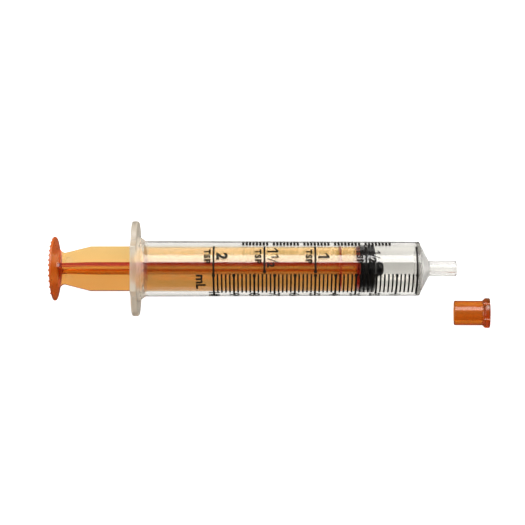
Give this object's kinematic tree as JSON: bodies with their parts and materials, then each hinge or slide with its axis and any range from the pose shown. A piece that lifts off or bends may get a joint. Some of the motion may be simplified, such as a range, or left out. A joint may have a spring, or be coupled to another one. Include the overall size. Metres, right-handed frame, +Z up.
{
  "type": "oral syringe",
  "caption": "Oral dosing syringe: clear graduated barrel with finger flange and plain tip, amber ribbed plunger, black rubber stopper, loose amber tip cap beside the tip.",
  "frame": {"origin": "on the barrel's axis, where the dosing tip leaves the nose cone", "axes": "+X along the barrel's axis towards the dosing tip, +Y across the flange's wings, away from the loose cap, +Z up, square to the flange's flat side. The surface that the syringe lies on touches that side and the thinner front of the barrel, so it is 1.1 degrees off level"},
  "size_m": [0.133, 0.0324, 0.0196],
  "materials": {
    "clear_barrel": "gloss",
    "amber_rod": "gloss",
    "black_rubber": "satin",
    "amber_cap": "gloss",
    "scale_ink": "satin"
  },
  "bodies": {
    "barrel": {"barrel": "clear_barrel"},
    "stopper": {"stopper": "black_rubber"},
    "rod": {"plunger_rod": "amber_rod"},
    "cap": {"tip_cap": "amber_cap"}
  },
  "joints": [
    {"name": "plunger_slide", "type": "slide", "parent": "barrel", "child": "stopper", "axis": [1, 0, 0], "range_m": [-0.0642, 0.0124]},
    {"name": "rod_turn", "type": "hinge", "parent": "stopper", "child": "rod", "pos_m": [-0.021, 0, 0], "axis": [1, 0, 0], "continuous": true},
    {"name": "cap_swing", "type": "hinge", "parent": "barrel", "child": "cap", "pos_m": [0.00994, -0.0029, -0.01485], "axis": [-0.9938, 0.098, -0.0519], "range_deg": [0, 56.11]}
  ]
}
